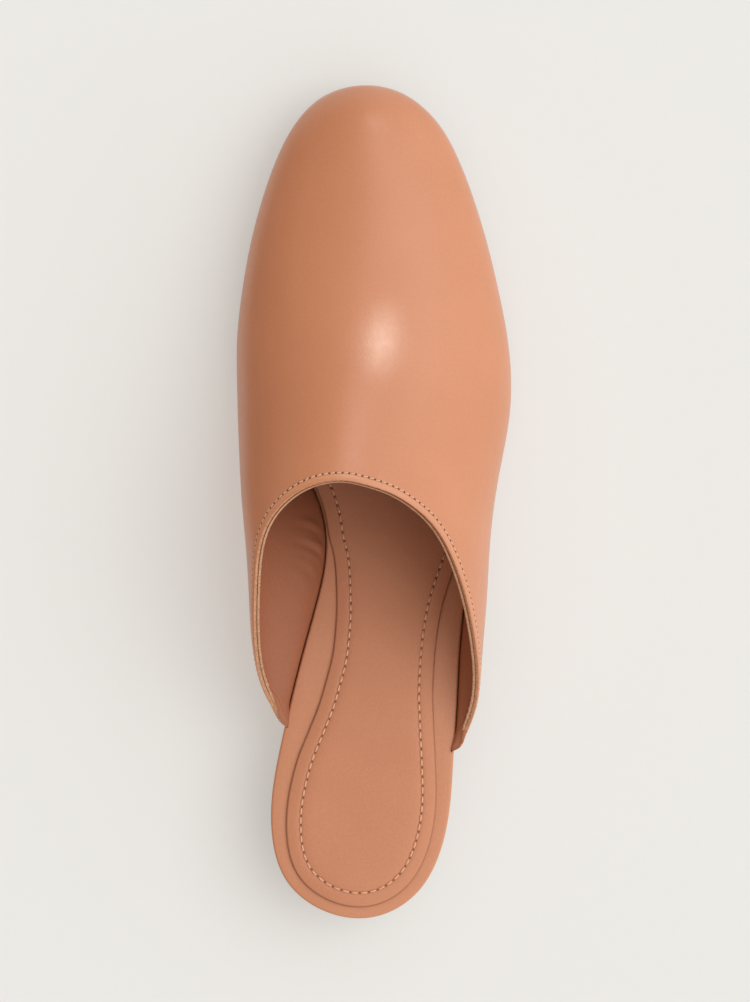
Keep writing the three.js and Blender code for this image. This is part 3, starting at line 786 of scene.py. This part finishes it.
def crease_height(angle, across):
    """The soft folds on both sides of each crease, which stand into the shoe."""
    girth = 1 - abs(across)
    if across > 0 or girth < BOARD_SHARE:
        return 0.0
    y = y_at(angle, LENGTH)
    height = 0.0
    for place, rise, length, width, turn, fold in CREASES:
        ahead_mm, up_mm = y - place, (girth - rise) * CREASE_SCALE
        lean = math.radians(turn)
        along = ahead_mm * math.cos(lean) + up_mm * math.sin(lean)
        aside = up_mm * math.cos(lean) - ahead_mm * math.sin(lean) - 0.02 * along**2
        near = math.exp(-(((aside + 1.3 * width) / width) ** 2))
        far = math.exp(-(((aside - 1.3 * width) / width) ** 2))
        height += fold * math.exp(-((along / length * 2) ** 2)) * (near + 0.5 * far)
    return height * min((girth - BOARD_SHARE) / 0.02, 1)


def leather_layer(name, depth, thickness, shape, finish, cut_finish):
    """One leather of the upper: a skin with its seam map, shaped by shape(distance, angle, across) in
    millimetres outwards, then given its thickness and a soft raw edge."""
    made, edge, station, across = skin(depth)
    seam = seam_line(made, edge)
    for vert in made.verts:
        rise = shape(edge.nearest(vert.co)[1] * 1000, vert[station], vert[across])
        vert.co = skin_point(vert[station], vert[across], depth - rise)
    made.normal_update()
    tree = BVHTree.FromBMesh(made)
    uv = made.loops.layers.uv.new("seam")
    for face in made.faces:
        for loop in face.loops:
            run, gap = seam.nearest(loop.vert.co)
            along = run * 1000
            if not 0 < run < seam.length:
                along = SEAM_PITCH * (int(along / SEAM_PITCH) + 0.5)  # no holes past the last stitch
            away = edge.nearest(loop.vert.co)[1] * 1000 - SEAM_INSET
            loop[uv].uv = (along, away if gap < SEAM_REACH else UNMARKED)
    weights = [thickness_share(v[station], 1 if v[across] >= 0 else -1) for v in made.verts]
    piece = shown(name, made, finish, cut_finish)
    full = piece.vertex_groups.new(name="thickness")
    for i, weight in enumerate(weights):
        full.add([i], weight, "REPLACE")
    wall = piece.modifiers.new("wall", "SOLIDIFY")
    wall.thickness = thickness / 1000
    wall.offset = -1
    wall.use_even_offset = False
    wall.material_offset_rim = 1
    wall.vertex_group = full.name
    soften = piece.modifiers.new("soft_edge", "BEVEL")
    soften.width = 0.00025
    soften.segments = 2
    soften.limit_method = "ANGLE"
    soften.angle_limit = math.radians(50)
    return piece, seam, tree


def outer_shape(distance, angle, across):
    return near_edge_height(distance)


def lining_shape(distance, angle, across):
    trough = 0.12 * math.exp(-(((distance - SEAM_INSET) / 0.42) ** 2))
    return trough - crease_height(angle, across)


calf = leather("upper_calf", CALF_TONES, 0.36, 0.9, outer_marks, {"Specular IOR Level": 0.6})
lining_calf = leather("lining_calf", LINING_SHADE_TONES, 0.5, 0.9, lining_marks, {"Specular IOR Level": 0.35})
cut_calf = cut_leather("cut_calf", CUT_TONES)
cut_lining = cut_leather("cut_lining", RAW_TONES)
upper_leather, outer_seam, outer_tree = leather_layer(
    "upper_leather", 0.0, OUTER_LEATHER, outer_shape, calf, cut_calf
)
upper_lining, lining_seam, lining_tree = leather_layer(
    "upper_lining", LINING_START, LINING_LEATHER, lining_shape, lining_calf, cut_lining
)
for piece in (upper_leather, upper_lining):
    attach(piece, "root")
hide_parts("upper")


# Topline stitching.
# A single row of waxed caramel thread, sewn through both leathers round the whole topline.
THREAD_TONES = ((0.66, 0.335, 0.20, 1), (0.85, 0.50, 0.32, 1))
THREAD_WIDTH = 0.0005
STITCH_LENGTH = SEAM_PITCH * 0.80 / 1000  # from hole to hole
STITCH_LIFT = 6e-5
STITCH_SLANT = 11  # degrees

thread = Finish("waxed_thread")
twist = thread.noise(2600.0, 2.0)
thread.close(thread.mix(twist, *THREAD_TONES), thread.ramp(twist, 0.3, 0.7, 0.45, 0.6), twist, 1.5e-4)


def stitches(name, places, length, width):
    """Threads at (point, direction, normal), each a slim grain that dips into its two holes."""
    sewn = bmesh.new()
    for point, along, normal in places:
        grain = bmesh.ops.create_uvsphere(sewn, u_segments=8, v_segments=7, radius=0.5)["verts"]
        for vert in grain:
            height = vert.co.z
            full = (1 - (2 * height) ** 2) ** 0.3 if abs(height) < 0.499 else 0.0
            round_share = math.hypot(vert.co.x, vert.co.y)
            scale = full * 0.5 / round_share if round_share > 1e-6 else 0.0
            vert.co = Vector((vert.co.x * scale, vert.co.y * scale - 0.28 * (2 * height) ** 4, height))
        side = normal.cross(along).normalized()
        normal = along.cross(side).normalized()
        frame_of = Matrix((side * width, normal * width, along * length)).transposed().to_4x4()
        bmesh.ops.transform(sewn, matrix=Matrix.Translation(point) @ frame_of, verts=grain)
    bmesh.ops.recalc_face_normals(sewn, faces=sewn.faces)
    return shown(name, sewn, thread)


def seam_places(line, tree, inner):
    """Where each thread lies on its leather, and how."""
    places = []
    for i in range(int(line.length * 1000 / SEAM_PITCH)):
        point, along = line.at((i + 0.5) * SEAM_PITCH / 1000)
        spot, normal, _, _ = tree.find_nearest(point)
        if inner:
            spot = spot - normal * (LINING_LEATHER / 1000)
            normal = -normal
        along = (along - normal * along.dot(normal)).normalized()
        along.rotate(Matrix.Rotation(math.radians(-STITCH_SLANT if inner else STITCH_SLANT), 3, normal))
        places.append((spot + normal * STITCH_LIFT, along, normal))
    return places


outer_places = seam_places(outer_seam, outer_tree, False)
lining_places = seam_places(lining_seam, lining_tree, True)
topline_stitches = stitches("topline_stitches", outer_places, STITCH_LENGTH, THREAD_WIDTH)
lining_stitches = stitches("lining_stitches", lining_places, STITCH_LENGTH, THREAD_WIDTH)
for piece in (topline_stitches, lining_stitches):
    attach(piece, "root")


# Sock lining.
# A calf sock on a thin foam, glued over the board from seat to toe. A row of stitches runs round it
# near its edge, in a shallow trough, and the board's wrapped rim shows outside it.
SOCK_THICKNESS = 1.2
SOCK_RIM = (  # y, bare rim of the board outside the sock, inner and outer side
    (0, 3.4, 3.4), (14, 3.9, 3.6), (30, 4.5, 4), (48, 5.6, 5.4), (58, 7.2, 6.5), (68, 8.5, 7.3),
    (78, 8.7, 7.2), (90, 7, 6.6), (101, 4.1, 4.7), (108, 2.3, 2.9), (115, 0.6, 1.2), (120, 0.6, 0.6),
    (BOARD_LENGTH, 0.6, 0.6),
)
SOCK_SEAM_INSET = 4.3
SOCK_SEAM_DEPTH = 0.46  # floor of the stitches' trough below the sock's level
SOCK_SEAM_PITCH = 2.75
SOCK_SEAM_STEPS = 1400
SOCK_STITCH_LENGTH = 0.00205
SOCK_THREAD_WIDTH = 0.0006
SOCK_STITCH_LIFT = 0.00018
SOCK_UNMARKED = -8.0
SOCK_TONES = ((0.545, 0.225, 0.122, 1), (0.60, 0.258, 0.142, 1))
# Painted shade: a darker tone in the trough of the sock's stitch line.
SOCK_CHANNEL_SHADE_TONE = (0.36, 0.135, 0.07, 1)
# Painted shade: the sock's needle holes are coloured dark for the shade inside them.
SOCK_HOLE_SHADE_TONE = (0.24, 0.095, 0.052, 1)
# Painted shade: a darker tone along the sock's rounded edge.
SOCK_EDGE_SHADE_TONE = (0.25, 0.095, 0.052, 1)
SOCK_PROFILE = (  # inset from the sock's edge, height above its level
    (8.2, 0.0), (6.8, -0.04), (5.8, -0.12), (5.2, -0.2), (4.8, -0.32), (4.5, -0.42), (4.3, -0.46),
    (4.1, -0.43), (3.8, -0.36), (3.4, -0.3), (2.8, -0.32), (2.0, -0.42), (1.2, -0.56), (0.6, -0.68),
    (0.28, -0.77), (0.08, -0.88), (0.0, -1.05), (0.03, -1.45),
)

rim_places, inner_rims, outer_rims = columns(SOCK_RIM)
sock_rim = {-1: level_curve(rim_places, inner_rims), 1: level_curve(rim_places, outer_rims)}


def sock_top(y):
    return board_top(y) + GAP + SOCK_THICKNESS


def sock_edge(angle, side, inset):
    _, y = board_edge(angle, side)
    return moved_out(board_edge, angle, side, -sock_rim[side](y) - inset)


def sock_spot(angle, share, ring):
    inset, height = ring
    outer, inner = (sock_edge(angle, side, inset) for side in (1, -1))
    x, y = (inner[i] + (outer[i] - inner[i]) * (share + 1) / 2 for i in (0, 1))
    return in_place(x, y, sock_top(y) + height)


def sock_seam_point(angle, side):
    x, y = sock_edge(angle, side, SOCK_SEAM_INSET)
    return in_place(x, y, sock_top(y) - SOCK_SEAM_DEPTH)


sock_angles = even(0.0, math.pi, SOCK_SEAM_STEPS)
sock_lines = {side: Line([sock_seam_point(angle, side) for angle in sock_angles]) for side in (-1, 1)}


def sock_run(angle, side):
    """Millimetres along the stitch line from the back of the heel, negative on the inner side."""
    at = angle / math.pi * SOCK_SEAM_STEPS
    i = min(int(at), SOCK_SEAM_STEPS - 1)
    runs = sock_lines[side].runs
    return side * 1000 * (runs[i] + (runs[i + 1] - runs[i]) * (at - i))


def sock_marks(finish, colour, height):
    """Needle holes along the sock's stitch line and its trough, darkened as painted shade, and painted
    shade along the sock's rounded edge.
    """
    along, v = seam_map(finish, SOCK_SEAM_PITCH)
    hole = finish.ramp(along.math("SQRT", along * along + v * v), 0.42, 0.24)
    channel = finish.ramp(abs(v), 0.7, 0.3)
    edge = finish.ramp(v, 3.7, 4.15)
    # Painted shade: darker in the stitches' trough, in the needle holes and along the sock's rounded
    # edge.
    colour = finish.mix(channel * 0.2, colour, SOCK_CHANNEL_SHADE_TONE)
    colour = finish.mix(hole * 0.8, colour, SOCK_HOLE_SHADE_TONE)
    colour = finish.mix(edge * 0.6, colour, SOCK_EDGE_SHADE_TONE)
    return colour, height - hole * 0.2


sock = layered(whole_length, PLATE_COLUMNS, SOCK_PROFILE, sock_spot)
station = sock.verts.layers.float["station"]
share = sock.verts.layers.float["share"]
inset = sock.verts.layers.float["inset"]
uv = sock.loops.layers.uv.new("seam")
for face in sock.faces:
    ends = [board_edge(face.verts[0][station], end)[0] for end in (-1, 1)]
    side = 1 if face.calc_center_median().x > in_place(sum(ends) / 2, 0, 0).x else -1
    for loop in face.loops:
        vert = loop.vert
        at_edge = abs(vert[share]) > 0.999 or min(vert[station], math.pi - vert[station]) < 1e-6
        away = SOCK_SEAM_INSET - vert[inset] if at_edge else SOCK_UNMARKED
        loop[uv].uv = (sock_run(vert[station], side), away)
sock_calf = leather("sock_calf", SOCK_TONES, 0.56, 1.0, sock_marks, {"Specular IOR Level": 0.3})
sock_lining = shown("sock_lining", sock, sock_calf)
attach(sock_lining, "root")
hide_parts("sock")

sewn_places = []
for side in (-1, 1):
    line = sock_lines[side]
    for i in range(int(line.length * 1000 / SOCK_SEAM_PITCH)):
        point, along = line.at((i + 0.5) * SOCK_SEAM_PITCH / 1000)
        normal = Vector((0, -along.z * along.y, 1)).normalized()
        sewn_places.append((point + normal * SOCK_STITCH_LIFT, along, normal))
sock_stitches = stitches("sock_stitches", sewn_places, SOCK_STITCH_LENGTH, SOCK_THREAD_WIDTH)
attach(sock_stitches, "root")


# Outsole.
# A 3.5 mm leather sole from heel to toe, edge trimmed and burnished, with the closed channel of its
# seam near the edge of the underside.
SOLE_EDGE = (  # y, reach beyond the board, inner and outer side
    (0, -0.4, -0.4), (50, -0.4, -0.4), (58, -0.4, 1.2), (66, 1.2, 1.2), (BOARD_LENGTH, 1.2, 1.2),
)
SOLE_TONES = ((0.40, 0.19, 0.085, 1), (0.50, 0.26, 0.125, 1))
BURNISHED_TONE = (0.30, 0.125, 0.055, 1)
SOLE_PROFILE = (  # inset from the edge, share of the thickness, height
    (3.0, 1, 0.0), (0.5, 1, 0.0), (0.15, 1, -0.1), (0.0, 1, -0.4), (0.0, 0.5, 0.0), (0.0, 0, 0.9),
    (0.15, 0, 0.45), (0.45, 0, 0.12), (0.9, 0, 0.0), (3.2, 0, 0.0), (3.5, 0, 0.06), (3.8, 0, 0.14),
    (4.1, 0, 0.06), (4.4, 0, 0.0), (6.0, 0, 0.0),
)

edge_places, inner_reach, outer_reach = columns(SOLE_EDGE)
sole_reach = {-1: level_curve(edge_places, inner_reach), 1: level_curve(edge_places, outer_reach)}


def sole_spot(angle, share, ring):
    inset, thick, height = ring
    ends = []
    for side in (1, -1):
        _, y = board_edge(angle, side)
        ends.append(moved_out(board_edge, angle, side, sole_reach[side](y) - inset))
    x, y = (ends[1][i] + (ends[0][i] - ends[1][i]) * (share + 1) / 2 for i in (0, 1))
    return in_place(x, y, sole_line(y) + SOLE_THICKNESS * thick + height)


def sole_marks(finish, colour, height):
    """The burnished edge is darker than the underside."""
    level = finish.parts(finish.node("ShaderNodeNewGeometry", output="Normal"))[2]
    upright_face = finish.ramp(abs(level), 0.9, 0.5)
    return finish.mix(upright_face * 0.75, colour, BURNISHED_TONE), height


sole = layered(whole_length, PLATE_COLUMNS, SOLE_PROFILE, sole_spot)
sole_leather = leather("sole_leather", SOLE_TONES, 0.5, 1.0, sole_marks, {"Specular IOR Level": 0.4})
outsole = shown("outsole_leather", sole, sole_leather)
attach(outsole, "root")
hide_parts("outsole")


# Heel.
# A low block of stacked leather lifts, nailed under the seat, on a top piece of dense rubber.
HEEL_FRONT = 46  # y of its breast, at the sole
HEEL_BREAST_LEAN = 3  # how much further back the breast is at the floor
HEEL_BREAST_HOLLOW = 2.4
HEEL_INSET = 1.0  # from the board's edge
HEEL_TAPER = 1.4
HEEL_GAP = 0.08  # below the outsole
HEEL_STEPS = 60
HEEL_COLUMNS = 16
TOP_PIECE = 0.3  # share of the heel's height
LIFTS = 4
LIFT_ROUND = 0.22  # how far from its joint a lift's edge starts to round
GROOVE = 0.16  # depth of the joint between two lifts
GROOVE_HALF = 0.03  # half its height
LIFT_TONES = ((0.33, 0.15, 0.07, 1), (0.46, 0.235, 0.115, 1))
FIBRE_TONE = (0.24, 0.10, 0.045, 1)
RUBBER_TONES = ((0.16, 0.085, 0.05, 1), (0.21, 0.115, 0.07, 1))


def heel_inset(share):
    return HEEL_INSET + HEEL_TAPER * (1 - share) ** 1.3


def heel_spot(angle, share, ring):
    inset, thick, height = ring
    ends = [moved_out(board_edge, angle, side, -inset) for side in (1, -1)]
    t = (1 - share) / 2
    x = ends[0][0] + (ends[1][0] - ends[0][0]) * t
    y = ends[0][1] + (ends[1][1] - ends[0][1]) * t
    y -= HEEL_BREAST_LEAN * (1 - thick) * y / HEEL_FRONT
    y -= HEEL_BREAST_HOLLOW * 4 * t * (1 - t) * (angle / heel_angles[-1]) ** 2
    return in_place(x, y, (sole_line(y) - HEEL_GAP) * thick + height)


heel_angles = even(0.0, angle_at(HEEL_FRONT, BOARD_LENGTH), HEEL_STEPS)
heel_rings = [
    (HEEL_INSET + 2.5, 1, 0.0), (HEEL_INSET + 0.3, 1, 0.0), (HEEL_INSET + 0.05, 1, -0.12),
    (HEEL_INSET, 1, -0.4),
]
lift_share = (1 - TOP_PIECE) / LIFTS
for lift in range(LIFTS):
    joint = 1 - lift_share * (lift + 1)
    deep = GROOVE if lift < LIFTS - 1 else GROOVE * 1.6
    heel_rings.append((heel_inset(joint + lift_share / 2), joint + lift_share / 2, 0.0))
    heel_rings.append((heel_inset(joint), joint, LIFT_ROUND))
    heel_rings.append((heel_inset(joint) + deep, joint, GROOVE_HALF))
    heel_rings.append((heel_inset(joint) + deep, joint, -GROOVE_HALF))
    heel_rings.append((heel_inset(joint), joint, -LIFT_ROUND))
heel_rings += [
    (heel_inset(TOP_PIECE / 2), TOP_PIECE / 2, 0.0), (heel_inset(0), 0, 0.7),
    (heel_inset(0) + 0.15, 0, 0.3), (heel_inset(0) + 0.6, 0, 0.0), (heel_inset(0) + 3.0, 0, 0.0),
]
heel_block = layered(heel_angles, HEEL_COLUMNS, heel_rings, heel_spot)
for face in heel_block.faces:
    centre = face.calc_center_median()
    face.material_index = int(centre.z * 1000 < sole_line(20) * TOP_PIECE - 0.05)


def lift_marks(finish, colour, height):
    """Fine level fibres of the stacked lifts."""
    fibres = finish.noise(160.0, 4.0, (1.0, 1.0, 14.0))
    colour = finish.mix(finish.ramp(fibres, 0.35, 0.7) * 0.5, colour, FIBRE_TONE)
    return colour, height + fibres * 0.08


stack = leather("heel_stack", LIFT_TONES, 0.42, 0.8, lift_marks, {"Specular IOR Level": 0.45})
rubber = leather("heel_rubber", RUBBER_TONES, 0.62, 1.2, None, {"Specular IOR Level": 0.35})
heel = shown("heel_block", heel_block, stack, rubber)
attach(heel, "root")
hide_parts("heel")
